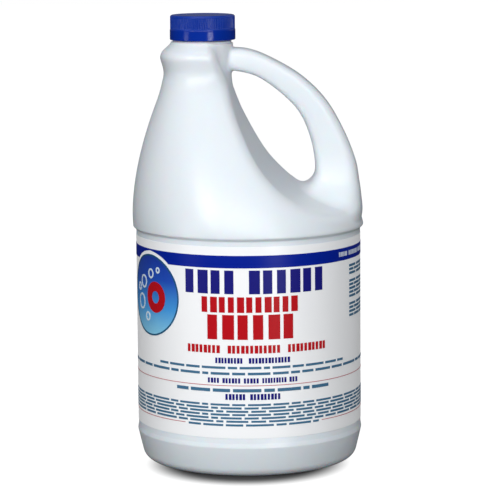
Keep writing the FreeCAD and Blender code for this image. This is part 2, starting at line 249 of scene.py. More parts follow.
class JugForm:
    """Signed field of the jug above the label: shoulder, collar, finger recess and handle."""

    def __init__(self, sizes: JugSizes) -> None:
        """Prepare the maps in the parting plane.

        Args:
            sizes: the jug's sizes.
        """
        self.sizes = sizes
        self.blends = JugBlends()
        self.map = PlaneMap((-70.0, 150.0), (100.0, 300.0), 0.5)
        self._map_recess()
        self._map_handle()

    def place(self, share: tuple[float, float]) -> Array:
        """Point in the parting plane for a place on the shoulder.

        Args:
            share: x from neck axis to side and z from shoulder to collar, both 0 to 1.
        Returns:
            x and z in millimetres.
        """
        s = self.sizes
        return np.array([-s.neck_offset + share[0] * (s.neck_offset + s.body_radius),
                         s.shoulder_z + share[1] * (s.collar_top_z - s.shoulder_z)])

    def _map_recess(self) -> None:
        """Signed distance to the recess edge, positive on the handle's side."""
        edge = np.array([self.place(share) for share in self.sizes.recess_line])
        start = edge[0] + (edge[0] - edge[1]) * 2.0
        end = edge[-1] + (edge[-1] - edge[-2]) * 2.0
        line = smooth_curve(np.vstack([start, edge, end]), 16)
        ahead = np.diff(line, axis=0)
        best = np.full(self.map.x.shape, 1e9)
        signed = np.zeros(self.map.x.shape)
        for point, along in zip(line[:-1], ahead):
            dx = self.map.x - point[0]
            dz = self.map.z - point[1]
            t = np.clip((dx * along[0] + dz * along[1]) / (along @ along), 0, 1)
            near = np.hypot(dx - t * along[0], dz - t * along[1])
            side = np.sign(dz * along[0] - dx * along[1])
            closer = near < best
            signed = np.where(closer, near * side, signed)
            best = np.where(closer, near, best)
        self.map.layers["recess"] = signed

    def _map_handle(self) -> None:
        """Distance across the handle and the size of its section, at each place in the plane."""
        rows = [[*self.place(outer), *self.place(inner), half_width, squareness]
                for outer, inner, half_width, squareness in self.sizes.handle]
        rows = np.array([2 * np.array(rows[0]) - np.array(rows[1])] + rows)
        line = smooth_curve(rows, 24)
        best = np.full(self.map.x.shape, 9.0)
        layers = [np.full(self.map.x.shape, value) for value in (13.0, 2.4)]

        def off_section(row: Array) -> Array:
            """Side of a section's line that each place in the plane lies on, scaled by its distance."""
            return ((self.map.x - row[2]) * (row[1] - row[3]) - (self.map.z - row[3]) * (row[0] - row[2]))

        for first, last in zip(line[:-1], line[1:]):
            before, after = off_section(first), off_section(last)
            held = before * after <= 0
            t = np.where(held, before / np.where(before == after, 1.0, before - after), 0.0)
            row = [first[column] + (last[column] - first[column]) * t for column in range(6)]
            wide_x, wide_z = row[0] - row[2], row[1] - row[3]
            reached = (self.map.x - row[2]) * wide_x + (self.map.z - row[3]) * wide_z
            across = 2 * reached / (wide_x ** 2 + wide_z ** 2) - 1
            closer = held & (np.abs(across) < np.abs(best))
            best = np.where(closer, across, best)
            for layer, column in zip(layers, (4, 5)):
                layer[closer] = row[column][closer]
        slope_x, slope_z = np.gradient(best, self.map.step)
        slope = np.clip(np.hypot(slope_x, slope_z), 0.02, 0.12)
        self.map.layers.update(across=np.minimum(np.abs(best), 4.0), slope=slope, half_width=layers[0],
                               squareness=layers[1])

    def lean(self, z: Array) -> Array:
        """x of the middle of the shoulder's round at a height.

        Args:
            z: heights.
        Returns:
            x of the middle.
        """
        s = self.sizes
        share = np.clip((z - s.shoulder_z) / (s.waist_z - s.shoulder_z), 0.0, 1.0)
        return -s.neck_offset * share ** s.lean_power

    def shoulder(self, x: Array, y: Array, z: Array, skin: float) -> Array:
        """Field of the leaning shoulder.

        Args:
            x: x of the points; this field and the next ones all take the same four values.
            y: y of the points.
            z: z of the points.
            skin: how far the form is taken in.
        Returns:
            The field's values, negative inside.
        """
        s = self.sizes
        share = np.clip((z - s.shoulder_z) / (s.waist_z - s.shoulder_z), 0.0, 1.3)
        drop = s.body_radius - s.waist_radius
        radius = s.body_radius - drop * share ** s.shoulder_power
        slope = drop * s.shoulder_power * share ** (s.shoulder_power - 1) / (s.waist_z - s.shoulder_z)
        return (np.hypot(x - self.lean(z), y) - radius) / np.sqrt(1 + slope ** 2) + skin

    def collar(self, x: Array, y: Array, z: Array, skin: float) -> Array:
        """Field of the round collar under the neck."""
        s, b = self.sizes, self.blends
        out = np.hypot(x + s.neck_offset, y)
        share = np.clip((z - s.waist_z) / (s.collar_z - s.waist_z), 0.0, 1.2)
        bow = b.collar_bow * np.sin(np.pi * np.clip(share, 0, 1))
        side = out - (s.waist_radius + (s.collar_radius - s.waist_radius) * share - bow)
        outward, upward = b.collar_slope
        top = (out - s.collar_top_radius) * outward + (z - s.collar_top_z) * upward
        foot = s.waist_z - b.collar_overlap - z
        return np.maximum(soft_max(side, top, b.collar_edge), foot) + skin

    def core(self, x: Array, y: Array, z: Array, skin: float) -> Array:
        """Field of the column that carries the neck between the recesses."""
        s = self.sizes
        out = np.hypot(x + s.neck_offset, y)
        low = (z - s.core_foot_z) / (s.waist_z - s.core_foot_z)
        high = (z - s.waist_z) / (s.collar_top_z - s.waist_z)
        radius = np.where(low < 1, s.core_foot_radius + (s.core_waist_radius - s.core_foot_radius) * low,
                          s.core_waist_radius + (s.core_radius - s.core_waist_radius) * high)
        return np.maximum(out - radius, z - s.collar_top_z) + skin

    def grip(self, x: Array, y: Array, z: Array, skin: float) -> Array:
        """Field of the handle."""
        half_width = self.map.read("half_width", x, z)
        power = self.map.read("squareness", x, z)
        u = self.map.read("across", x, z) + 1e-4
        v = np.abs(y) / half_width + 1e-4
        size = (u ** power + v ** power) ** (1 / power)
        slope = size ** (1 - power) * np.hypot(u ** (power - 1) * self.map.read("slope", x, z),
                                               v ** (power - 1) / half_width)
        return (size - 1) / np.maximum(slope, 0.01) + skin

    def outside(self, x: Array, y: Array, z: Array) -> Array:
        """Field of the outer skin, negative inside.

        Args:
            x: x of the points.
            y: y of the points.
            z: z of the points.
        Returns:
            The field's values, close to distances in millimetres.
        """
        return self._whole(x, y, z, 0.0)

    def inside(self, x: Array, y: Array, z: Array) -> Array:
        """Field of the hollow, negative in the hollow. Arguments as for outside."""
        s = self.sizes
        nowhere = 9.0
        hollow = self._whole(x, y, z, s.wall)
        hollow = np.where(z > s.collar_top_z - s.wall, nowhere, hollow)
        bore = np.maximum(np.hypot(x + s.neck_offset, y) - s.bore, s.waist_z - z)
        return soft_min(hollow, bore, self.blends.bore)

    def handle_reach(self, x: Array, y: Array, z: Array) -> Array:
        """Distance over which the handle blends into the body, tight at its outer edge.

        Args:
            x: x of the points.
            y: y of the points.
            z: z of the points.
        Returns:
            The distance at each point.
        """
        b = self.blends
        off_plane = np.abs(y)
        above_shoulder = np.clip((z - self.sizes.shoulder_z - 1.5) / 8.0, 0.02, 1.0)
        near_plane = 1.0 - np.clip((off_plane - 8.0) / 26.0, 0.0, 1.0)
        at_outer_edge = np.clip((x - 52.0) / 14.0, 0.0, 1.0) * near_plane
        at_flank = np.clip((off_plane - 20.0) / 15.0, 0.0, 1.0)
        reach = np.clip(b.handle - np.abs(z - b.handle_widest_z) * b.handle_fall, b.handle_least, b.handle)
        reach = reach * above_shoulder * (1.0 - 0.85 * at_outer_edge) * (1.0 - 0.45 * at_flank)
        from_hole = (x - b.hole_bottom[0]) ** 2 + (z - b.hole_bottom[1]) ** 2
        return reach + b.hole_reach * np.exp(-from_hole / b.hole_spread)

    def _whole(self, x: Array, y: Array, z: Array, skin: float) -> Array:
        """All forms together, taken in by skin. Arguments as for shoulder."""
        s, b = self.sizes, self.blends
        body = soft_min(self.shoulder(x, y, z, skin), self.collar(x, y, z, skin), b.collar)
        draft = math.radians(s.recess_draft)
        depth = np.sqrt(y ** 2 + b.recess_fold ** 2) - b.recess_fold
        recess = self.map.read("recess", x, z) * math.cos(draft) + depth * math.sin(draft) + skin
        body = soft_max(body, recess, b.recess)
        body = soft_min(body, self.core(x, y, z, skin), b.core)
        whole = soft_min(body, self.grip(x, y, z, skin), self.handle_reach(x, y, z))
        if skin == 0.0:
            out = np.hypot(x + s.neck_offset, y)
            below = s.collar_top_z - b.neck_overlap - z
            neck_ring = np.maximum(np.maximum(out - s.ring_radius, z - s.ring_top), below)
            neck = np.maximum(out - s.neck_radius, below)
            whole = np.minimum(soft_min(whole, neck_ring, b.neck_ring), neck)
        return whole


@dataclass
class Surface:
    """Vertices in millimetres and faces of a mesh being built."""

    points: list = field(default_factory=list)
    faces: list = field(default_factory=list)
    count: int = 0

    def add(self, points: Array) -> Array:
        """Add vertices.

        Args:
            points: rows of x, y, z.
        Returns:
            The indices of the new vertices.
        """
        self.points.append(np.asarray(points, dtype=float))
        start = self.count
        self.count += len(points)
        return np.arange(start, self.count)

    def skin(self, *loops: Array) -> None:
        """Join closed loops of equal length by quads, each with the next.

        Args:
            *loops: vertex indices of the loops, from low to high as seen from outside.
        """
        for low, high in zip(loops[:-1], loops[1:]):
            self.faces += np.column_stack([low, np.roll(low, -1), np.roll(high, -1), high]).tolist()

    def strip(self, *lines: Array) -> None:
        """Join open lines of equal length by quads, each with the next.

        Args:
            *lines: vertex indices of the lines, from low to high as seen from outside.
        """
        for low, high in zip(lines[:-1], lines[1:]):
            self.faces += np.column_stack([low[:-1], low[1:], high[1:], high[:-1]]).tolist()

    def close(self, loop: Array, centre: Sequence[float], flip: bool = False) -> None:
        """Close a loop with triangles to a new vertex.

        Args:
            loop: vertex indices of the loop.
            centre: x, y and z of the new vertex.
            flip: turn the triangles over.
        """
        middle = self.add(np.array([centre]))[0]
        rows = np.column_stack([loop, np.roll(loop, -1), np.full(len(loop), middle)])
        self.faces += (rows[:, ::-1] if flip else rows).tolist()


def surface_net(surface: Surface, form: Form, lean: Callable[[Array], Array], angles: Array,
                heights: Array, radii: Array, flip: bool) -> tuple[Array, Array]:
    """Mesh the zero level of a field on a grid of angles, heights and radii about a leaning axis.

    Args:
        surface: the mesh to add to.
        form: the field.
        lean: x of the grid's axis at a height.
        angles: grid angles, ascending and closed round.
        heights: grid heights.
        radii: grid radii.
        flip: turn the faces inside out, for a hollow.
    Returns:
        The loops of vertices at the lowest and at the highest row.
    """
    a, h, r = np.meshgrid(angles, heights, radii, indexing="ij")
    grid = np.stack([lean(h) + r * np.sin(a), -r * np.cos(a), h], axis=-1)
    values = form(grid[..., 0], grid[..., 1], grid[..., 2])
    inside = values < 0
    shape = (len(angles), len(heights) - 1, len(radii) - 1)
    total = np.zeros(shape + (3,))
    hits = np.zeros(shape)
    quads = []
    for axis in range(3):
        ahead_values = np.roll(values, -1, axis)
        ahead_grid = np.roll(grid, -1, axis)
        ahead_inside = ahead_values < 0
        crossing = inside != ahead_inside
        if axis == 1:
            crossing[:, -1, :] = False
        if axis == 2:
            crossing[:, :, -1] = False
        i, j, k = np.nonzero(crossing)
        start, end = values[i, j, k], ahead_values[i, j, k]
        share = (start / (start - end))[:, None]
        spot = grid[i, j, k] * (1 - share) + ahead_grid[i, j, k] * share
        others = [other for other in range(3) if other != axis]
        corners = []
        good = np.ones(len(i), bool)
        for step_a, step_b in ((0, 0), (-1, 0), (-1, -1), (0, -1)):
            cell = [i.copy(), j.copy(), k.copy()]
            cell[others[0]] += step_a
            cell[others[1]] += step_b
            cell[0] %= len(angles)
            valid = (cell[1] >= 0) & (cell[1] < shape[1]) & (cell[2] >= 0) & (cell[2] < shape[2])
            np.add.at(total, tuple(c[valid] for c in cell), spot[valid])
            np.add.at(hits, tuple(c[valid] for c in cell), 1)
            good &= valid
            corners.append(cell)
        flat = [np.ravel_multi_index([np.clip(c, 0, n - 1) for c, n in zip(cell, shape)], shape)
                for cell in corners]
        rows = np.column_stack(flat)[good]
        turn = inside[i, j, k][good]
        if axis == 1:
            turn = ~turn
        rows[turn] = rows[turn][:, ::-1]
        quads.append(rows)
    used = np.nonzero(hits.ravel() > 0)[0]
    spots = total.reshape(-1, 3)[used] / hits.ravel()[used, None]
    for _ in range(3):
        spots = onto_level(form, spots)
    number = np.full(hits.size, -1)
    number[used] = surface.add(spots)
    rows = number[np.vstack(quads)]
    surface.faces += (rows[:, ::-1] if flip else rows).tolist()
    table = number.reshape(shape)
    loops = []
    for row in (0, shape[1] - 1):
        loops.append(np.array([line[line >= 0][0] for line in table[:, row, :]]))
    return loops[0], loops[1]


def onto_level(form: Form, spots: Array) -> Array:
    """Move points along the field's slope onto its zero level.

    Args:
        form: the field.
        spots: rows of x, y, z.
    Returns:
        The moved rows.
    """
    step = 0.05
    flattest_slope = 0.05
    longest_move = 0.6
    value = form(*spots.T)
    slope = np.column_stack([form(*(spots + step * axis).T) - value for axis in np.eye(3)]) / step
    move = slope * (value / np.maximum((slope ** 2).sum(axis=1), flattest_slope))[:, None]
    length = np.linalg.norm(move, axis=1, keepdims=True)
    return spots - move * np.minimum(1.0, longest_move / np.maximum(length, 1e-9))


def ring(angles: Array, radius: Array | float, z: Array | float, centre_x: float = 0.0) -> Array:
    """Points of a level ring.

    Args:
        angles: angles from the front.
        radius: one radius or one for each angle.
        z: height.
        centre_x: x of the middle.
    Returns:
        Rows of x, y, z.
    """
    ones = np.ones(len(angles))
    return np.column_stack([centre_x + radius * np.sin(angles), -radius * np.cos(angles), z * ones])


def arc_points(centre: tuple[float, float], radius: float, start: float, end: float,
               steps: int) -> list[tuple[float, float]]:
    """Points of an arc in a profile of (radius, z).

    Args:
        centre: middle of the arc.
        radius: its radius.
        start: first angle in degrees from the outward direction.
        end: last angle.
        steps: number of spans.
    Returns:
        The points.
    """
    return [(centre[0] + radius * math.cos(math.radians(start + (end - start) * i / steps)),
             centre[1] + radius * math.sin(math.radians(start + (end - start) * i / steps)))
            for i in range(steps + 1)]


def thread_share(angles: Array, z: float, start: float, root: float, tip: float, jug: JugSizes) -> Array:
    """How far a screw thread stands out at each angle of a height, as a share of its depth.

    Args:
        angles: angles from the front.
        z: the height.
        start: height of the thread's middle where it begins.
        root: width of the thread at its root.
        tip: width of the thread at its tip.
        jug: the jug's sizes, for pitch and turns.
    Returns:
        Shares from 0 to 1.
    """
    run_out = 14.0
    turn = np.mod(angles - math.pi / 2, 2 * math.pi) / (2 * math.pi)
    share = np.zeros(len(angles))
    for lap in range(int(jug.thread_turns) + 1):
        along = turn + lap
        off = np.abs(z - start - jug.thread_pitch * along)
        flank = np.clip((root / 2 - off) / ((root - tip) / 2), 0.0, 1.0)
        ends = np.clip(np.minimum(along, jug.thread_turns - along) * run_out, 0.0, 1.0)
        share = np.maximum(share, flank * ends * (along <= jug.thread_turns))
    return share


def make_object(name: str, surface: Surface, material: bpy.types.Material,
                sharp_angle: float = 35.0) -> bpy.types.Object:
    """Smooth-shaded Blender object of a built surface, in metres.

    Args:
        name: name of the piece.
        surface: its mesh.
        material: its material.
        sharp_angle: edges sharper than this many degrees stay sharp.
    Returns:
        The object, linked into the scene.
    """
    mesh = bpy.data.meshes.new(name)
    points = np.vstack(surface.points) * MM
    mesh.from_pydata(points.tolist(), [], surface.faces)
    mesh.validate()
    mesh.update()
    mesh.materials.append(material)
    obj = bpy.data.objects.new(name, mesh)
    bpy.context.scene.collection.objects.link(obj)
    mesh.shade_smooth()
    mesh.set_sharp_from_angle(angle=math.radians(sharp_angle))
    log.info("%s: %d vertices, %d faces", name, len(mesh.vertices), len(mesh.polygons))
    return obj


class Graph:
    """Small helper that adds nodes to a material's tree."""

    def __init__(self, name: str) -> None:
        """Start a material.

        Args:
            name: the material's name.
        """
        self.material = bpy.data.materials.new(name)
        self.material.use_nodes = True
        self.tree = self.material.node_tree
        self.shader = self.tree.nodes["Principled BSDF"]

    def add(self, kind: str, **values: object) -> bpy.types.Node:
        """Add a node; values set its attributes, or inputs where the name is an input's.

        Args:
            kind: the node's type.
            **values: attributes by name, inputs with underscores for spaces.
        Returns:
            The node.
        """
        node = self.tree.nodes.new(kind)
        for key, value in values.items():
            if hasattr(node, key):
                setattr(node, key, value)
            else:
                self.put(node, key.replace("_", " "), value)
        return node

    def put(self, node: bpy.types.Node, name: str, value: object) -> None:
        """Link or set one input of a node.

        Args:
            node: the node.
            name: the input's name, or its number written out.
            value: a socket to link, or a value to set.
        """
        socket = node.inputs[int(name)] if name.isdigit() else node.inputs[name]
        if isinstance(value, bpy.types.NodeSocket):
            self.tree.links.new(value, socket)
        else:
            socket.default_value = value

    def maths(self, operation: str, first: object, second: object = 0.0) -> bpy.types.NodeSocket:
        """Result of a maths node.

        Args:
            operation: the node's operation.
            first: first value or socket.
            second: second value or socket.
        Returns:
            The output socket.
        """
        node = self.add("ShaderNodeMath", operation=operation)
        for index, value in enumerate((first, second)):
            self.put(node, str(index), value)
        return node.outputs[0]

    def place(self) -> dict[str, bpy.types.NodeSocket]:
        """Object coordinates in metres.

        Returns:
            The sockets for x, y and z.
        """
        coords = self.add("ShaderNodeTexCoord").outputs["Object"]
        split = self.add("ShaderNodeSeparateXYZ", Vector=coords)
        return dict(zip("xyz", split.outputs))

    def noise(self, scale: float, detail: float = 3.0, roughness: float = 0.5) -> bpy.types.NodeSocket:
        """Noise in object space.

        Args:
            scale: its scale per metre.
            detail: its octaves.
            roughness: its roughness.
        Returns:
            The factor socket.
        """
        coords = self.add("ShaderNodeTexCoord").outputs["Object"]
        node = self.add("ShaderNodeTexNoise", Vector=coords, Scale=scale, Detail=detail, Roughness=roughness)
        return node.outputs["Fac"]

    def mix(self, share: object, low: object, high: object) -> bpy.types.NodeSocket:
        """Colour mixed between two colours.

        Args:
            share: value or socket, 0 gives low.
            low: colour or socket.
            high: colour or socket.
        Returns:
            The colour socket.
        """
        node = self.add("ShaderNodeMix", data_type="RGBA")
        self.put(node, "0", share)
        for index, value in ((6, low), (7, high)):
            if isinstance(value, bpy.types.NodeSocket):
                self.tree.links.new(value, node.inputs[index])
            else:
                node.inputs[index].default_value = (*value, 1.0)
        return node.outputs[2]

    def bump(self, height: bpy.types.NodeSocket, strength: float, distance: float,
             normal: bpy.types.NodeSocket | None = None) -> bpy.types.NodeSocket:
        """Bumped normal.

        Args:
            height: the height socket.
            strength: bump strength.
            distance: bump distance in metres.
            normal: a normal to add to.
        Returns:
            The normal socket.
        """
        node = self.add("ShaderNodeBump", Strength=strength, Distance=distance, Height=height)
        if normal is not None:
            self.put(node, "Normal", normal)
        return node.outputs[0]

    def surface(self, **inputs: object) -> bpy.types.Material:
        """Set the shader's inputs.

        Args:
            **inputs: values or sockets by input, with underscores for spaces.
        Returns:
            The finished material.
        """
        for key, value in inputs.items():
            if isinstance(value, tuple) and len(value) == 3 and key.endswith("Color"):
                value = (*value, 1.0)
            self.put(self.shader, key.replace("_", " "), value)
        return self.material


@dataclass(frozen=True)
class BlownPlastic:
    """White blow-moulded polyethylene: soft sheen, faint unevenness, a parting line with painted shade, and
    painted shade darkening the foot.
    """

    colour: Colour = (0.80, 0.81, 0.85)
    shade: Colour = (0.75, 0.775, 0.82)
    foot_shade: Colour = (0.68, 0.71, 0.75)
    seam_shade: Colour = (0.42, 0.47, 0.55)
    foot_z: tuple[float, float] = (0.004, 0.024)
    seam_half_width: float = 0.0005
    roughness: float = 0.30

    def build(self) -> bpy.types.Material:
        """Make the material.

        Returns:
            The material.
        """
        g = Graph("white_hdpe_look")
        place = g.place()
        cloud = g.noise(14.0, 2.0)
        grain = g.noise(900.0, 4.0, 0.6)
        tint = g.mix(cloud, self.shade, self.colour)
        # Painted shade: the plastic is tinted darker towards the base, below about 24 mm, in place of the
        # shade on the down-facing foot.
        foot = g.add("ShaderNodeMapRange", Value=place["z"], From_Min=self.foot_z[0], From_Max=self.foot_z[1],
                     To_Min=1.0, To_Max=0.0).outputs[0]
        tint = g.mix(foot, tint, self.foot_shade)
        # The parting line is a real bump; its darker grey tint is painted shade standing in for the shade
        # along its ridge.
        away = g.maths("ABSOLUTE", place["y"])
        seam = g.maths("SUBTRACT", 1.0, g.maths("DIVIDE", away, self.seam_half_width))
        seam = g.maths("MAXIMUM", seam, 0.0)
        tint = g.mix(g.maths("MULTIPLY", seam, 0.35), tint, self.seam_shade)
        normal = g.bump(grain, 0.10, 0.0002)
        normal = g.bump(g.noise(38.0, 1.0), 0.16, 0.0012, normal)
        normal = g.bump(seam, 0.9, 0.0003, normal)
        rough = g.maths("ADD", self.roughness, g.maths("MULTIPLY", grain, 0.08))
        return g.surface(Base_Color=tint, Roughness=rough, Normal=normal, Subsurface_Weight=0.25,
                         Subsurface_Scale=0.004, IOR=1.5)


@dataclass(frozen=True)
class CapPlastic:
    """Deep blue moulded polypropylene; the ribbed part is tinted a little lighter as painted sheen."""

    colour: Colour = (0.0005, 0.026, 0.31)
    dark: Colour = (0.0005, 0.019, 0.25)
    rib_colour: Colour = (0.0008, 0.032, 0.32)
    roughness: float = 0.12
    band_top: float = 294.0

    def build(self) -> bpy.types.Material:
        """Make the material.

        Returns:
            The material.
        """
        g = Graph("blue_pp_look")
        grain = g.noise(1400.0, 3.0, 0.6)
        ribbed = g.maths("GREATER_THAN", g.place()["z"], self.band_top * MM)
        tint = g.mix(g.noise(60.0, 2.0), self.dark, self.colour)
        # Painted sheen: above the band the blue is made slightly lighter, in place of the glints on the ribs.
        tint = g.mix(ribbed, tint, self.rib_colour)
        rough = g.maths("ADD", self.roughness, g.maths("MULTIPLY", ribbed, 0.12))
        rough = g.maths("ADD", rough, g.maths("MULTIPLY", grain, 0.05))
        return g.surface(Base_Color=tint, Roughness=rough, Specular_IOR_Level=0.3)


@dataclass(frozen=True)
class FoamLiner:
    """Pale foamed disc."""

    colour: Colour = (0.80, 0.80, 0.77)
    cell_shade: Colour = (0.70, 0.70, 0.67)

    def build(self) -> bpy.types.Material:
        """Make the material.

        Returns:
            The material.
        """
        g = Graph("foam_look")
        cells = g.noise(2600.0, 5.0, 0.7)
        return g.surface(Base_Color=g.mix(cells, self.cell_shade, self.colour), Roughness=0.8,
                         Normal=g.bump(cells, 0.5, 0.0002))


@dataclass(frozen=True)
class LabelFilm:
    """White printed film with a satin face."""

    colour: Colour = (0.94, 0.95, 0.96)
    shade: Colour = (0.90, 0.92, 0.95)
    roughness: float = 0.30

    def build(self) -> bpy.types.Material:
        """Make the material.

        Returns:
            The material.
        """
        g = Graph("label_film_look")
        cloud = g.noise(30.0, 2.0)
        tint = g.mix(cloud, self.shade, self.colour)
        rough = g.maths("ADD", self.roughness, g.maths("MULTIPLY", g.noise(500.0, 3.0), 0.08))
        return g.surface(Base_Color=tint, Roughness=rough, Normal=g.bump(g.noise(45.0, 1.0), 0.10, 0.0008),
                         Coat_Weight=0.2, Coat_Roughness=0.15, Sheen_Weight=1.0, Sheen_Roughness=0.8)


@dataclass(frozen=True)
class Ink:
    """Printed ink with a faint unevenness of tone."""

    name: str
    colour: Colour
    roughness: float = 0.32

    def build(self) -> bpy.types.Material:
        """Make the material.

        Returns:
            The material.
        """
        g = Graph(self.name + "_look")
        darker = tuple(0.82 * channel for channel in self.colour)
        tint = g.mix(g.noise(700.0, 3.0), darker, self.colour)
        return g.surface(Base_Color=tint, Roughness=self.roughness, Specular_IOR_Level=0.1)


@dataclass(frozen=True)
class BadgeInk:
    """Badge field that fades from deep blue at the top to pale cyan at the bottom."""

    low_z: float
    high_z: float
    haze: Colour = (0.02, 0.15, 0.6)
    stops: tuple[tuple[float, Colour], ...] = ((0.0, (0.30, 0.72, 0.90)), (0.35, (0.06, 0.34, 0.75)),
                                               (0.7, (0.01, 0.06, 0.45)), (1.0, (0.005, 0.02, 0.30)))

    def build(self) -> bpy.types.Material:
        """Make the material.

        Returns:
            The material.
        """
        g = Graph("badge_look")
        place = g.place()
        share = g.add("ShaderNodeMapRange", Value=place["z"], From_Min=self.low_z * MM,
                      From_Max=self.high_z * MM)
        ramp = g.add("ShaderNodeValToRGB", Fac=share.outputs[0])
        elements = ramp.color_ramp.elements
        while len(elements) < len(self.stops):
            elements.new(0.5)
        for element, (position, colour) in zip(elements, self.stops):
            element.position = position
            element.color = (*colour, 1.0)
        tint = g.mix(g.maths("MULTIPLY", g.noise(90.0, 2.0), 0.25), ramp.outputs[0], self.haze)
        return g.surface(Base_Color=tint, Roughness=0.3, Coat_Weight=0.2, Coat_Roughness=0.15)


class Bottle:
    """The blown jug: fine outer skin, hollow and screw neck as one mesh."""

    segments: int = 360
    outer_step: float = 1.3
    thread_step: float = 0.45
    spread: float = 0.45

    def __init__(self, sizes: JugSizes) -> None:
        """Keep the sizes.

        Args:
            sizes: the jug's sizes.
        """
        self.sizes = sizes
        self.form = JugForm(sizes)

    def angles(self, count: int) -> Array:
        """Angles round the jug, closer together at the handle.

        Args:
            count: how many.
        Returns:
            Ascending angles from the front; the handle is at a quarter turn.
        """
        even = np.arange(count) * 2 * math.pi / count - math.pi
        return even - self.spread * np.sin(even) + math.pi / 2

    def heights(self, step: float) -> Array:
        """Grid heights from the shoulder's foot to the neck, finer at the neck ring.

        Args:
            step: step over the shoulder.
        Returns:
            Ascending heights.
        """
        s = self.sizes
        fine = step * 0.4
        low, break_z, high = s.shoulder_z + 0.6, s.collar_top_z - 2.0, s.ring_top + 1.2
        coarse = np.linspace(low, break_z, int((break_z - low) / step) + 1)
        return np.concatenate([coarse, np.arange(break_z + fine, high, fine)])

    def lower_profile(self, skin: float) -> list[tuple[float, float]]:
        """Profile of foot, bumpers and panel, from the shoulder down to the middle of the base.

        Args:
            skin: how far the profile is taken in.
        Returns:
            Points of (radius, z).
        """
        s = self.sizes
        lean = math.radians(s.foot_lean)
        foot_height = s.bumper_top - s.foot_corner
        foot = s.foot_radius - (s.foot_corner + foot_height * math.sin(lean)) / math.cos(lean)
        top = s.body_radius - skin
        panel = s.panel_radius - skin
        side = s.foot_radius - skin
        inner = foot - s.ring_width
        step = s.step_height
        points = [(top, s.shoulder_z + 0.2), (top - 0.02, s.panel_top + step + 0.5),
                  (top - 0.12, s.panel_top + step + 0.1), (top - 0.4, s.panel_top + step - 0.25),
                  (panel + 0.45, s.panel_top + 0.6), (panel + 0.15, s.panel_top + 0.25),
                  (panel, s.panel_top - 0.2)]
        points += [(panel, s.panel_top - drop) for drop in (2.0, 12.0, 45.0, 90.0, 120.0)]
        points += [(panel, s.panel_bottom + 0.9), (panel + 0.1, s.panel_bottom + 0.3),
                   (panel + 0.3, s.panel_bottom - 0.6), (side - 0.12, s.bumper_top + 0.35),
                   (side - 0.02, s.bumper_top - 0.1), (side - 0.06, s.bumper_top - 0.6),
                   (side - 0.25, s.bumper_top - 1.4), (side - 1.2, s.bumper_top - 5.6)]
        points += arc_points((foot, s.foot_corner), s.foot_corner - skin, -s.foot_lean, -90.0, 14)
        points += [(inner + 1.0, skin), (inner + 0.3, skin + 0.15), (inner - 0.8, skin + 0.7)]
        dome = s.push_up * 0.8
        points += [(inner - 3.0, skin + s.push_up - dome)]
        for share in (0.85, 0.7, 0.55, 0.4, 0.25, 0.1):
            points.append(((inner - 3.0) * share, skin + s.push_up - dome * share ** 1.9))
        return points

    def skin_mesh(self, surface: Surface, form: Form, count: int, step: float, skin: float,
                  hollow: bool) -> tuple[Array, Array]:
        """Mesh one skin from the base's middle to below the thread.

        Args:
            surface: the mesh to add to.
            form: the field of that skin.
            count: angles round the jug.
            step: grid step.
            skin: how far the skin is taken in.
            hollow: faces turned inwards.
        Returns:
            The top loop and the angles of its vertices.
        """
        angles = self.angles(count)
        radii = np.arange(6.0, 92.0, step)
        low, high = surface_net(surface, form, self.form.lean, angles, self.heights(step), radii, hollow)
        spots = np.vstack(surface.points)[low]
        places = np.arctan2(spots[:, 0], -spots[:, 1])
        loops = [low] + [surface.add(ring(places, radius, z)) for radius, z in self.lower_profile(skin)]
        surface.skin(*(loops if hollow else reversed(loops)))
        surface.close(loops[-1], (0.0, 0.0, skin + self.sizes.push_up), flip=not hollow)
        spots = np.vstack(surface.points)[high]
        return high, np.arctan2(spots[:, 0] + self.sizes.neck_offset, -spots[:, 1])

    def build(self) -> bpy.types.Object:
        """Mesh and dress the bottle.

        Returns:
            The object.
        """
        s = self.sizes
        centre = -s.neck_offset
        surface = Surface()
        outer, outer_angles = self.skin_mesh(surface, self.form.outside, self.segments, self.outer_step,
                                             0.0, False)
        loops = [outer]
        for z in np.arange(s.ring_top + 1.6, s.rim_z - 0.7, self.thread_step):
            share = thread_share(outer_angles, z, s.thread_start, s.thread_root, s.thread_tip, s)
            loops.append(surface.add(ring(outer_angles, s.neck_radius + share * s.thread_depth, z, centre)))
        edge = s.rim_edge
        loops += [surface.add(ring(outer_angles, radius, z, centre)) for radius, z in
                  arc_points((s.neck_radius - edge, s.rim_z - edge), edge, 0.0, 90.0, 3)]
        surface.skin(*loops)
        inner, inner_angles = self.skin_mesh(surface, self.form.inside, self.segments // 2,
                                             2 * self.outer_step, s.wall, True)
        mouth = surface.add(ring(inner_angles, s.bore, s.rim_z - 0.4, centre))
        rim = surface.add(ring(inner_angles, s.bore + 0.3, s.rim_z, centre))
        surface.skin(rim, mouth, inner)
        self.close_rim(surface, loops[-1], rim, outer_angles, inner_angles)
        return make_object("jug", surface, BlownPlastic().build(), sharp_angle=60.0)

    def close_rim(self, surface: Surface, outer: Array, inner: Array, outer_angles: Array,
                  inner_angles: Array) -> None:
        """Join the finer outer loop of the rim to the coarser inner loop.

        Args:
            surface: the mesh to add to.
            outer: vertex indices of the outer loop.
            inner: vertex indices of the inner loop.
            outer_angles: angles of the outer loop's vertices.
            inner_angles: angles of the inner loop's vertices.
        """
        ratio = len(outer) // len(inner)
        shift = int(np.argmin(np.abs(np.angle(np.exp(1j * (outer_angles - inner_angles[0]))))))
        outer = np.roll(outer, -shift)
        for index in range(len(inner)):
            here, after = inner[index], inner[(index + 1) % len(inner)]
            steps = [outer[(index * ratio + extra) % len(outer)] for extra in range(ratio + 1)]
            for first, second in zip(steps[:-1], steps[1:]):
                surface.faces.append([int(first), int(second), int(here)])
            surface.faces.append([int(steps[-1]), int(after), int(here)])


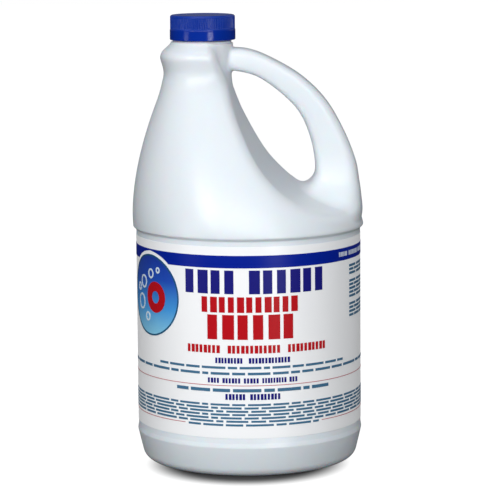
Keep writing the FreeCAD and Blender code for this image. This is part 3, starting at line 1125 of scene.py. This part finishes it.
@dataclass(frozen=True)
class CapSizes:
    """Sizes of the screw cap in millimetres."""

    radius: float = 22.2
    bottom: float = 286.8
    top: float = 303.6
    plate: float = 1.6
    dish: float = 0.12
    edge: float = 1.4
    ribs: int = 96
    rib_depth: float = 0.55
    band: float = 7.1
    step: float = 0.25
    clearance: float = 0.4
    tip_clearance: float = 0.35
    thread_gap: float = 0.45
    lead: float = 1.2


class Cap:
    """The ribbed screw cap."""

    samples_per_rib: int = 8

    def __init__(self, sizes: CapSizes, jug: JugSizes) -> None:
        """Keep the sizes.

        Args:
            sizes: the cap's sizes.
            jug: the jug's sizes, for its neck.
        """
        self.sizes = sizes
        self.jug = jug

    def rib_cut(self, angles: Array) -> Array:
        """Depth of the grooves between the ribs at each angle.

        Args:
            angles: angles from the front.
        Returns:
            Shares of the full depth, 0 to 1.
        """
        wave = np.cos((angles - math.pi / 2) * self.sizes.ribs)
        return np.clip((wave + 0.15) / 0.7, 0.0, 1.0)

    def outer_rows(self) -> list[tuple[float, float, float]]:
        """Profile of the outside, from the mouth's edge to the middle of the top.

        Returns:
            Radius, height and share of the rib depth of each row.
        """
        s = self.sizes
        band_top = s.bottom + s.band
        shell = s.radius - s.step
        rows = [(s.radius - 0.5, s.bottom, 0.0), (s.radius - 0.15, s.bottom + 0.15, 0.0),
                (s.radius, s.bottom + 0.4, 0.0), (s.radius, s.bottom + 0.7, 0.0),
                (s.radius, band_top - 0.5, 0.0), (s.radius, band_top - 0.2, 0.0),
                (s.radius - 0.08, band_top - 0.08, 0.0), (shell, band_top + 0.05, 0.0),
                (shell, band_top + 0.4, 0.0), (shell, band_top + 0.8, 1.0), (shell, band_top + 1.1, 1.0),
                (shell, s.top - s.edge - 0.9, 1.0), (shell, s.top - s.edge - 0.6, 1.0),
                (shell, s.top - s.edge, 0.7)]
        for radius, z in arc_points((shell - s.edge, s.top - s.edge), s.edge, 12.0, 90.0, 6):
            rows.append((radius, z, max(0.0, 0.5 - (z - s.top + s.edge) / s.edge)))
        face_z = s.top - s.dish
        return rows + [(shell - s.edge - 1.0, s.top, 0.0), (shell - s.edge - 1.3, face_z, 0.0),
                       (8.0, face_z, 0.0), (2.0, face_z, 0.0)]

    def inner_rows(self, angles: Array) -> list[tuple[Array | float, float]]:
        """Profile of the inside with its thread, from the mouth to the middle of the plate.

        Args:
            angles: angles from the front.
        Returns:
            Radius and height of each row; the radius may be one value or one for each angle.
        """
        s, j = self.sizes, self.jug
        bore = j.neck_radius + j.thread_depth + s.clearance
        slope = (j.thread_root - j.thread_tip) / j.thread_depth
        depth = bore - j.neck_radius - s.tip_clearance
        tip = j.thread_pitch - 2 * s.thread_gap - (j.thread_root - slope * s.tip_clearance)
        root = tip + slope * depth
        start = j.thread_start - j.thread_pitch / 2
        plate_z = s.top - s.plate
        rows = [(bore + s.lead, s.bottom), (bore, s.bottom + s.lead)]
        for z in np.arange(s.bottom + s.lead + 0.2, plate_z - 0.3, 0.55):
            rows.append((bore - thread_share(angles, z, start, root, tip, j) * depth, z))
        return rows + [(bore, plate_z), (2.0, plate_z)]

    def build(self) -> bpy.types.Object:
        """Mesh and dress the cap.

        Returns:
            The object.
        """
        s = self.sizes
        centre = -self.jug.neck_offset
        count = s.ribs * self.samples_per_rib
        angles = np.arange(count) * 2 * math.pi / count
        cut = self.rib_cut(angles)
        surface = Surface()
        outer = [surface.add(ring(angles, radius - cut * s.rib_depth * depth, z, centre))
                 for radius, z, depth in self.outer_rows()]
        surface.skin(*outer)
        surface.close(outer[-1], (centre, 0.0, s.top - s.dish))
        inner = [surface.add(ring(angles, radius, z, centre)) for radius, z in self.inner_rows(angles)]
        surface.skin(*reversed(inner), outer[0])
        surface.close(inner[-1], (centre, 0.0, s.top - s.plate), flip=True)
        return make_object("screw_cap", surface, CapPlastic().build(), sharp_angle=50.0)


class Liner:
    """The foam disc under the cap."""

    def build(self, centre: float) -> bpy.types.Object:
        """Mesh and dress the liner from its CAD box.

        Args:
            centre: x of the neck axis.
        Returns:
            The object.
        """
        low, high = node_box("cap_liner")
        radius = (high[1] - low[1]) / 2
        angles = np.arange(96) * 2 * math.pi / 96
        rows = [(2.0, low[2]), (radius - 0.2, low[2]), (radius, low[2] + 0.2), (radius, high[2] - 0.2),
                (radius - 0.2, high[2]), (2.0, high[2])]
        surface = Surface()
        loops = [surface.add(ring(angles, out, z, centre)) for out, z in rows]
        surface.skin(*loops)
        surface.close(loops[-1], (centre, 0.0, high[2]))
        surface.close(loops[0], (centre, 0.0, low[2]), flip=True)
        return make_object("foam_liner", surface, FoamLiner().build())


@dataclass(frozen=True)
class LabelSizes:
    """Sizes of the label and its print: millimetres, and degrees from the front.

    A row of print is its lower and upper edge, its first and last angle and its number of words.
    """

    inner_radius: float = 76.35
    radius: float = 76.5
    bottom: float = 27.4
    top: float = 155.4
    overlap: float = 8.0
    lap_rise: float = 0.13
    cut_edge: float = 0.04
    ink: float = 0.15
    word_gap: float = 0.14
    rhythm: tuple = (4, 6, 5, 8, 3, 7, 2, 6, 4, 7, 5, 3)
    letter_pitch: float = 0.58
    letter_fills: tuple[float, float] = (0.66, 0.78)
    lowest_letters: float = 3.0
    band: tuple = (141.4, 149.7)
    title: tuple = (124.2, 139.9, -33.0, 42.0, 2)
    red_rows: tuple = ((111.8, 122.2, -24.0, 26.0, 1), (93.8, 110.3, -21.0, 25.0, 1),
                       (84.6, 89.9, -32.0, 42.0, 3))
    navy_rows: tuple = ((77.9, 81.6, -17.0, 21.0, 2), (64.6, 68.0, -21.0, 25.0, 5),
                        (53.4, 57.4, -12.0, 16.0, 2))
    fine_rows: tuple = ((74.1, 75.7, -51.0, 55.0, 12), (70.1, 71.8, -85.0, 87.0, 18),
                        (58.6, 60.8, -39.0, 43.5, 8))
    fine_block: tuple = (38.1, 51.6, 6, -86.0, 88.0, 16)
    last_row: tuple = (35.6, 37.0, -32.0, 37.0, 7)
    side_high: float = 136.0
    side_pitch: float = 2.6
    side_rows: int = 14
    side_blanks: tuple = (3, 9)
    side_row: tuple = (1.6, 62.0, 84.0, 2)
    band_words: tuple = (144.2, 147.2, 52.0, 84.0, 3)
    red_lines: tuple = ((62.7, -88.0, 92.0), (36.2, -88.0, -34.0), (36.2, 39.0, 92.0))
    red_line_height: float = 0.5
    badge: tuple = (-59.0, 118.6, 29.0, 27.5)
    badge_rim: float = 2.2
    badge_edge: float = 1.1
    badge_mark: tuple = (6.0, -1.0, 10.5, 4.2)
    badge_rings: tuple = ((-14.0, -6.0, 5.5), (-10.0, 8.0, 4.6), (-18.5, 3.5, 3.0), (0.5, 14.5, 3.4),
                          (-4.0, -15.0, 3.2), (9.0, 17.5, 2.2))
    badge_ring_width: float = 1.2


class Print:
    """Fields of colour printed on the label."""

    def __init__(self, sizes: LabelSizes) -> None:
        """Keep the sizes.

        Args:
            sizes: the label's sizes.
        """
        self.sizes = sizes

    def patch(self, surface: Surface, z0: float, z1: float, angle0: float, angle1: float,
              lift: float = 0.0) -> None:
        """Add one curved sheet.

        Args:
            surface: the mesh to add to.
            z0: lower edge.
            z1: upper edge.
            angle0: first angle in degrees.
            angle1: last angle.
            lift: height over the label that it starts from.
        """
        s = self.sizes
        steps = max(1, round((angle1 - angle0) / 2.0))
        angles = np.radians(np.linspace(angle0, angle1, steps + 1))
        base, face = s.radius + lift, s.radius + lift + s.ink
        grid = [surface.add(ring(angles, radius, z)) for radius, z in
                ((base, z0), (face, z0), (face, z1), (base, z1))]
        surface.strip(*grid, grid[0])
        surface.faces.append([int(loop[0]) for loop in grid])
        surface.faces.append([int(loop[-1]) for loop in reversed(grid)])

    def words(self, surface: Surface, z0: float, z1: float, angle0: float, angle1: float,
              words: int, lift: float = 0.0) -> None:
        """Add a printed line as words of plain blocks; low lines stay one bar for each word.

        Args:
            surface: the mesh to add to.
            z0: lower edge.
            z1: upper edge.
            angle0: first angle.
            angle1: last angle.
            words: number of words.
            lift: height over the label that it starts from.
        """
        s = self.sizes
        lengths = [s.rhythm[index % len(s.rhythm)] for index in range(words)]
        gap = s.word_gap * (angle1 - angle0) / words
        unit = (angle1 - angle0 - gap * (words - 1)) / sum(lengths)
        tall = z1 - z0
        angle = angle0
        for length in lengths:
            wide = unit * length
            letters = max(1, round(math.radians(wide) * s.radius / (s.letter_pitch * tall)))
            if tall < s.lowest_letters:
                self.patch(surface, z0, z1, angle, angle + wide, lift)
                letters = 0
            for letter in range(letters):
                start = angle + wide * letter / letters
                fill = s.letter_fills[(letter * 5 + length) % 3 == 0]
                self.patch(surface, z0, z1, start, start + wide / letters * fill, lift)
            angle += wide + gap

    def disc(self, surface: Surface, angle: float, height: float, half_width: float, half_height: float,
             hole: tuple[float, float] | None, lift: float) -> None:
        """Add an oval sheet or ring, laid round the label.

        Args:
            surface: the mesh to add to.
            angle: its middle.
            height: its middle's height.
            half_width: half its width along the label.
            half_height: half its height.
            hole: half sizes of its hole, or None.
            lift: height over the label that it starts from.
        """
        s = self.sizes
        turn = np.arange(72) * 2 * math.pi / 72
        radius, face = s.radius + lift, s.radius + lift + s.ink

        def loop(wide: float, tall: float, out: float) -> Array:
            """Add an oval loop at a distance out from the bottle's axis."""
            across = math.radians(angle) + wide * np.cos(turn) / s.radius
            return surface.add(np.column_stack([out * np.sin(across), -out * np.cos(across),
                                                height + tall * np.sin(turn)]))

        rim = loop(half_width, half_height, radius)
        if hole is None:
            shares = (0.75, 0.5, 0.25)
            middle = np.array([math.radians(angle)])
            front = [loop(half_width * share, half_height * share, face) for share in (1.0, *shares)]
            surface.skin(rim, *front)
            surface.close(front[-1], ring(middle, face, height)[0])
            back = [loop(half_width * share, half_height * share, radius) for share in shares]
            surface.skin(*reversed(back), rim)
            surface.close(back[-1], ring(middle, radius, height)[0], flip=True)
        else:
            outer_face = loop(half_width, half_height, face)
            surface.skin(rim, outer_face, loop(*hole, face), loop(*hole, radius), rim)


class Label:
    """The wrap-round film with its print."""

    def __init__(self, sizes: LabelSizes) -> None:
        """Keep the sizes.

        Args:
            sizes: the label's sizes.
        """
        self.sizes = sizes
        self.print = Print(sizes)

    def film(self) -> bpy.types.Object:
        """The film, one closed sheet with its lap at the back.

        Returns:
            The object.
        """
        s = self.sizes
        lap = s.overlap / s.radius
        angles = np.linspace(-math.pi, math.pi, 289)[:-1]
        lapped = np.clip((lap / 2 - np.abs(np.abs(angles) - math.pi)) / 0.004 + 1.0, 0.0, 1.0)
        outer = s.radius + lapped * s.lap_rise
        between = np.linspace(s.bottom + 3, s.top - 3, 9)
        surface = Surface()
        loops = [surface.add(ring(angles, outer - s.cut_edge, s.bottom)),
                 *[surface.add(ring(angles, outer, z)) for z in (s.bottom + 0.05, *between, s.top - 0.05)],
                 surface.add(ring(angles, outer - s.cut_edge, s.top))]
        back = [surface.add(ring(angles, s.inner_radius, z)) for z in (s.bottom, s.top)]
        surface.skin(*loops, back[1], back[0], loops[0])
        return make_object("label_film", surface, LabelFilm().build())

    def blue(self) -> bpy.types.Object:
        """The blue band, open at the badge and at the lap.

        Returns:
            The object.
        """
        s = self.sizes
        surface = Surface()
        z0, z1 = s.band
        lap = math.degrees(s.overlap / s.radius) / 2 + 0.2
        angle, height, half_width, half_height = s.badge
        rim_width, rim_height = half_width + s.badge_rim, half_height + s.badge_rim

        def badge_side(z: float) -> float:
            """Degrees from the badge's middle to its rim at a height."""
            rise = min(1.0, abs(z - height) / rim_height)
            return math.degrees(rim_width * math.sqrt(1 - rise ** 2) / s.radius)

        levels = np.linspace(z0, z1, 9)
        for side in (-1, 1):
            start = angle + side * np.array([badge_side(z) for z in levels])
            self._sheet(surface, levels, start, side * (180.0 - lap), side)
        return make_object("print_band", surface, Ink("blue_ink", (0.001, 0.015, 0.30)).build())

    def _sheet(self, surface: Surface, levels: Array, start: Array, end: float, side: int) -> None:
        """Add a curved sheet between an uneven edge and a straight one, closed round its rim.

        Args:
            surface: the mesh to add to.
            levels: heights of the sheet's rows.
            start: angle of the uneven edge at each height, in degrees.
            end: angle of the straight edge.
            side: 1 where the sheet runs to larger angles, -1 where it runs to smaller ones.
        """
        s = self.sizes
        share = np.linspace(0.0, 1.0, 91)
        fronts, backs = [], []
        for z, first in zip(levels, start):
            angles = np.radians(first + (end - first) * share)[::side]
            fronts.append(surface.add(ring(angles, s.radius + s.ink, z)))
            backs.append(surface.add(ring(angles, s.radius, z)))
        surface.strip(backs[0], *fronts, *reversed(backs))
        for lefts, rights, column in ((backs, fronts, 0), (fronts, backs, -1)):
            left = np.array([line[column] for line in lefts])
            right = np.array([line[column] for line in rights])
            surface.strip(right, left)

    def badge(self) -> list[bpy.types.Object]:
        """The badge's field, the plain rings on it and its dark outline.

        Returns:
            The three objects.
        """
        s = self.sizes
        angle, height, half_width, half_height = s.badge
        ink = BadgeInk(height - half_height, height + half_height)
        plate = Surface()
        self.print.disc(plate, angle, height, half_width, half_height, None, 0.0)
        field_object = make_object("print_badge", plate, ink.build())
        pale = Surface()
        for across, up, size in s.badge_rings:
            place = angle + math.degrees(across / s.radius)
            hole = size - s.badge_ring_width
            self.print.disc(pale, place, height + up, size, size, (hole, hole), s.ink)
        rings = make_object("print_badge_rings", pale, Ink("badge_pale", (0.75, 0.86, 0.93)).build())
        edge = Surface()
        self.print.disc(edge, angle, height, half_width, half_height,
                        (half_width - s.badge_edge, half_height - s.badge_edge), s.ink)
        outline = make_object("print_badge_edge", edge, Ink("badge_edge", (0.02, 0.10, 0.20)).build())
        return [field_object, rings, outline]

    def red(self) -> bpy.types.Object:
        """Red rows and the badge's red ring.

        Returns:
            The object.
        """
        s = self.sizes
        surface = Surface()
        for row in s.red_rows:
            self.print.words(surface, *row)
        angle, height = s.badge[:2]
        across, up, size, hole = s.badge_mark
        place = angle + math.degrees(across / s.radius)
        self.print.disc(surface, place, height + up, size, size, (hole, hole), s.ink)
        return make_object("print_red", surface, Ink("red_ink", (0.50, 0.006, 0.012)).build())

    def thin_lines(self) -> bpy.types.Object:
        """The thin pale red lines.

        Returns:
            The object.
        """
        s = self.sizes
        surface = Surface()
        for z, angle0, angle1 in s.red_lines:
            self.print.patch(surface, z, z + s.red_line_height, angle0, angle1)
        return make_object("print_thin_lines", surface, Ink("pale_red_ink", (0.55, 0.20, 0.22)).build())

    def band_print(self) -> bpy.types.Object:
        """Small white words on the blue band.

        Returns:
            The object.
        """
        surface = Surface()
        self.print.words(surface, *self.sizes.band_words, lift=self.sizes.ink)
        return make_object("print_band_words", surface, Ink("white_ink", (0.62, 0.68, 0.80)).build())

    def navy(self) -> bpy.types.Object:
        """Navy title and rows.

        Returns:
            The object.
        """
        s = self.sizes
        surface = Surface()
        for row in (s.title, *s.navy_rows):
            self.print.words(surface, *row)
        return make_object("print_navy", surface, Ink("navy_ink", (0.012, 0.012, 0.20)).build())

    def teal(self) -> bpy.types.Object:
        """Fine rows, the fine block and the rows at the side.

        Returns:
            The object.
        """
        s = self.sizes
        surface = Surface()
        for row in s.fine_rows:
            self.print.words(surface, *row)
        low, high, rows, angle0, angle1, words = s.fine_block
        pitch = (high - low) / rows
        for row in range(rows):
            z0 = low + pitch * row
            self.print.words(surface, z0, z0 + pitch * 0.6, angle0, angle1, words + row % 3)
        self.print.words(surface, *s.last_row)
        tall, angle0, angle1, words = s.side_row
        for row in range(s.side_rows):
            if row not in s.side_blanks:
                z0 = s.side_high - s.side_pitch * row
                self.print.words(surface, z0, z0 + tall, angle0, angle1, words + row % 2)
        return make_object("print_fine", surface, Ink("teal_ink", (0.06, 0.17, 0.29)).build())


class LightRole(Enum):
    """What a studio light is for."""

    KEY = "key"
    FILL = "fill"
    TOP = "top"
    RIM = "rim"
    STRIP = "strip"
    GLINT = "glint"


@dataclass(frozen=True)
class StudioLight:
    """One soft area light aimed at the bottle."""

    role: LightRole
    place: tuple[float, float, float]
    size: tuple[float, float]
    power: float

    def build(self, target: Vector) -> bpy.types.Object:
        """Add the light.

        Args:
            target: point it faces.
        Returns:
            The light object.
        """
        data = bpy.data.lights.new(self.role.value + "_light", "AREA")
        data.shape = "RECTANGLE"
        data.size, data.size_y = self.size
        data.energy = self.power
        obj = bpy.data.objects.new(data.name, data)
        obj.location = self.place
        obj.rotation_euler = (target - Vector(self.place)).to_track_quat("-Z", "Y").to_euler()
        bpy.context.scene.collection.objects.link(obj)
        return obj


@dataclass(frozen=True)
class Studio:
    """Pale floor, soft light and the photograph's camera."""

    target_z: float = 0.1426
    distance: float = 1.836
    elevation: float = 8.2
    lens: float = 193.2
    side: float = 0.0011
    roll: float = -0.45
    floor_colour: Colour = (0.05, 0.05, 0.05)
    floor_glow: float = 1.02
    shadow_place: tuple[float, float] = (-0.0015, -0.028)
    shadow_reach: tuple[float, float] = (0.045, 0.073)
    shadow_fall: float = 1.5
    sky_colour: Colour = (0.9, 0.94, 1.0)
    sky_strength: float = 0.18
    lights: tuple[StudioLight, ...] = (
        StudioLight(LightRole.KEY, (-1.0, -1.35, 0.85), (0.45, 0.7), 11.0),
        StudioLight(LightRole.FILL, (0.10, -1.9, 0.9), (1.8, 0.9), 22.5),
        StudioLight(LightRole.TOP, (-0.1, 0.0, 1.3), (0.8, 0.8), 2.5),
        StudioLight(LightRole.RIM, (1.1, 0.7, 0.7), (0.8, 0.8), 1.5),
        StudioLight(LightRole.STRIP, (-1.46, -0.88, 0.08), (0.50, 0.14), 2.0),
        StudioLight(LightRole.GLINT, (0.77, -1.51, 0.08), (0.50, 0.14), 5.5),
    )

    def floor(self) -> None:
        """Add the floor, white to the camera but for a painted shadow at the foot, where the camera glow is
        masked out.
        """
        bpy.ops.mesh.primitive_plane_add(size=12.0)
        plane = bpy.context.object
        plane.name = "studio_floor"
        g = Graph("floor_look")
        g.surface(Base_Color=self.floor_colour, Roughness=0.9)
        seen = g.add("ShaderNodeLightPath").outputs["Is Camera Ray"]
        place = g.place()
        # Painted shadow: the glow seen by the camera fades out in a soft disc just in front of the foot.
        aside = g.maths("SUBTRACT", place["x"], self.shadow_place[0])
        ahead = g.maths("SUBTRACT", place["y"], self.shadow_place[1])
        squares = g.maths("ADD", g.maths("MULTIPLY", aside, aside), g.maths("MULTIPLY", ahead, ahead))
        away = g.maths("SQRT", squares)
        outside_painted_shadow = g.add("ShaderNodeMapRange", interpolation_type="SMOOTHSTEP", Value=away,
                           From_Min=self.shadow_reach[0], From_Max=self.shadow_reach[1]).outputs[0]
        bright = g.maths("MULTIPLY", g.maths("POWER", outside_painted_shadow, self.shadow_fall), self.floor_glow)
        glow = g.add("ShaderNodeEmission", Strength=g.maths("MULTIPLY", seen, bright))
        both = g.add("ShaderNodeAddShader")
        g.tree.links.new(g.shader.outputs[0], both.inputs[0])
        g.tree.links.new(glow.outputs[0], both.inputs[1])
        g.tree.links.new(both.outputs[0], g.tree.nodes["Material Output"].inputs[0])
        plane.data.materials.append(g.material)

    def world(self) -> None:
        """White background for the camera, softer white for light."""
        world = bpy.data.worlds.new("studio")
        bpy.context.scene.world = world
        world.use_nodes = True
        tree = world.node_tree
        back = tree.nodes["Background"]
        back.inputs["Color"].default_value = (*self.sky_colour, 1.0)
        back.inputs["Strength"].default_value = self.sky_strength
        white = tree.nodes.new("ShaderNodeBackground")
        white.inputs["Color"].default_value = (1.0, 1.0, 1.0, 1.0)
        path = tree.nodes.new("ShaderNodeLightPath")
        mix = tree.nodes.new("ShaderNodeMixShader")
        tree.links.new(path.outputs["Is Camera Ray"], mix.inputs[0])
        tree.links.new(back.outputs[0], mix.inputs[1])
        tree.links.new(white.outputs[0], mix.inputs[2])
        tree.links.new(mix.outputs[0], tree.nodes["World Output"].inputs[0])

    def camera(self) -> None:
        """Add the camera at the photograph's angle."""
        data = bpy.data.cameras.new("photo_camera")
        data.lens = self.lens
        data.sensor_width = 36.0
        data.clip_end = 20.0
        obj = bpy.data.objects.new("photo_camera", data)
        lift = math.radians(self.elevation)
        target = Vector((self.side, 0.0, self.target_z))
        obj.location = target + Vector((0.0, -math.cos(lift), math.sin(lift))) * self.distance
        turn = (target - obj.location).to_track_quat("-Z", "Y").to_matrix().to_4x4()
        obj.rotation_euler = (turn @ Matrix.Rotation(math.radians(self.roll), 4, "Z")).to_euler()
        bpy.context.scene.collection.objects.link(obj)
        bpy.context.scene.camera = obj

    def build(self) -> None:
        """Set up floor, light and camera."""
        self.floor()
        self.world()
        target = Vector((0.0, 0.0, self.target_z))
        for light in self.lights:
            light.build(target)
        self.camera()
        bpy.context.scene.view_settings.view_transform = "Standard"
        log.info("studio ready")


def tie(piece: bpy.types.Object, body: str, node: str | None = None) -> None:
    """Tie a piece to its moving body and the CAD node it stands for.

    Args:
        piece: the object.
        body: the body it rides on.
        node: the CAD node it replaces, if any.
    """
    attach(piece, body)
    if node is not None:
        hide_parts(node)


def main() -> None:
    """Build every piece, dress it and set up the studio."""
    sizes = JugSizes()
    label = Label(LabelSizes())
    tie(Bottle(sizes).build(), "jug_body", "bottle")
    tie(Cap(CapSizes(), sizes).build(), "cap_body", "cap")
    tie(Liner().build(-sizes.neck_offset), "liner_body", "cap_liner")
    tie(label.film(), "jug_body", "label")
    tie(label.blue(), "jug_body", "ink_blue")
    for piece, slot in zip(label.badge(), ("blue_ink", "label_film", "blue_ink")):
        tie(piece, "jug_body")
    tie(label.red(), "jug_body", "ink_red")
    tie(label.thin_lines(), "jug_body")
    tie(label.band_print(), "jug_body")
    tie(label.navy(), "jug_body", "ink_navy")
    tie(label.teal(), "jug_body", "ink_teal")
    Studio().build()


if __name__ == "__main__":
    main()
